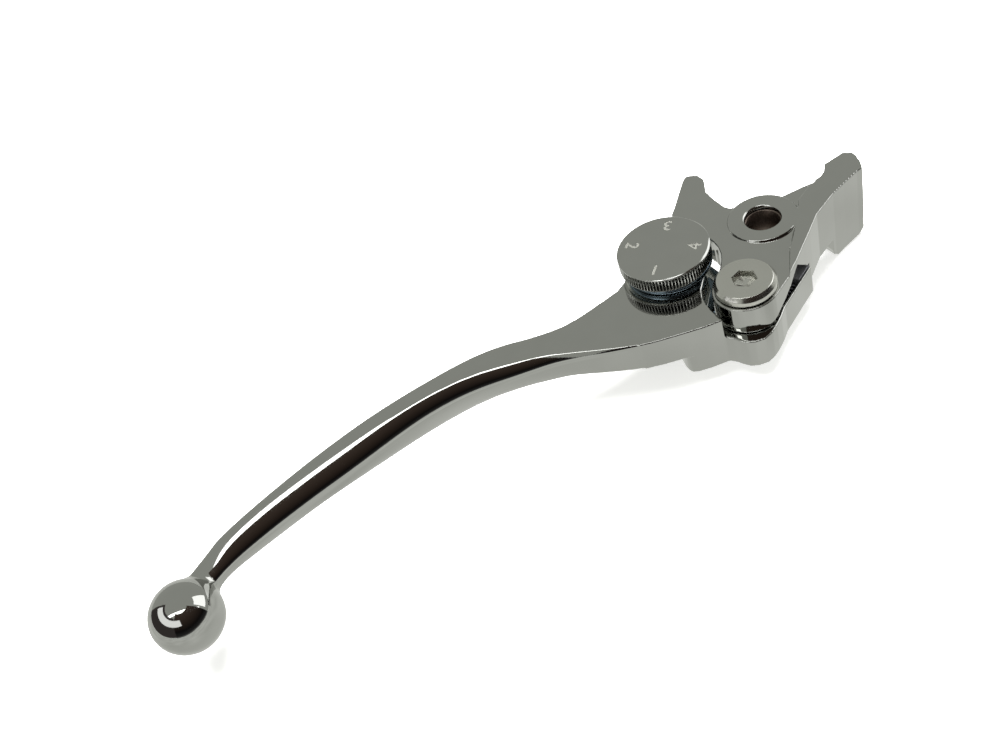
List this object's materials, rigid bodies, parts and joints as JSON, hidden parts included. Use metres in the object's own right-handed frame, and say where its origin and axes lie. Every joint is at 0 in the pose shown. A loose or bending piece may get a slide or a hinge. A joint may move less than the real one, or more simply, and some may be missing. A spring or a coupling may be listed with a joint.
{
  "type": "motorcycle clutch lever",
  "caption": "Adjustable handlebar lever: a swinging knocker, a ball-ended lever blade hinged to it, and a numbered reach dial whose cam sets the blade's angle.",
  "frame": {"origin": "on the axis of the perch pivot bore, at the underside of the pivot boss", "axes": "+X runs along the lever from the ball end to the pivot, +Y points from the lever to the handlebar, +Z comes out of the dial's numbered face along the pivot axis"},
  "size_m": [0.2013, 0.053, 0.0243],
  "materials": {
    "lever_chrome": "polished chrome plate",
    "satin_nickel": "satin nickel plate",
    "blue_zinc": "blue-passivated zinc plate",
    "zinc_steel": "bright zinc plate",
    "bronze": "oiled sintered bronze",
    "spring_steel": "dark oiled spring steel",
    "black_steel": "blackened steel"
  },
  "bodies": {
    "perch_side": {"pivot_collar": "bronze"},
    "knocker_body": {"knocker": "lever_chrome", "hinge_bush": "bronze"},
    "blade_body": {"blade": "lever_chrome", "hinge_bolt": "satin_nickel", "hinge_nut": "zinc_steel", "reach_spring": "spring_steel", "dial_bush": "bronze", "dial_spring_washer": "spring_steel", "detent_ball": "zinc_steel", "detent_spring": "spring_steel"},
    "plunger_body": {"spring_plunger": "black_steel"},
    "dial_body": {"dial_cap": "lever_chrome", "dial_cam": "blue_zinc", "dial_dowel": "zinc_steel", "dial_spindle": "blue_zinc", "dial_clip": "spring_steel"}
  },
  "joints": [
    {"name": "lever_swing", "type": "hinge", "parent": "perch_side", "child": "knocker_body", "pos_m": [0, 0, 0.007], "axis": [0, 0, -1], "range_deg": [0, 22]},
    {"name": "reach_hinge", "type": "hinge", "parent": "knocker_body", "child": "blade_body", "pos_m": [-0.0174, -0.015, 0.0105], "axis": [0, 0, -1], "range_deg": [0, 4.9]},
    {"name": "dial_turn", "type": "hinge", "parent": "blade_body", "child": "dial_body", "pos_m": [-0.0249, 0.006, 0.0158], "axis": [0, 0, 1], "range_deg": [0, 270]},
    {"name": "plunger_slide", "type": "slide", "parent": "blade_body", "child": "plunger_body", "axis": [0.9164, 0.4003, 0], "range_m": [0, 0.0005]}
  ],
  "couplings": [
    {"joint": "reach_hinge", "follows": "dial_turn", "ratio": 0.018148},
    {"joint": "plunger_slide", "follows": "dial_turn", "m_per_rad": 0.000104}
  ]
}
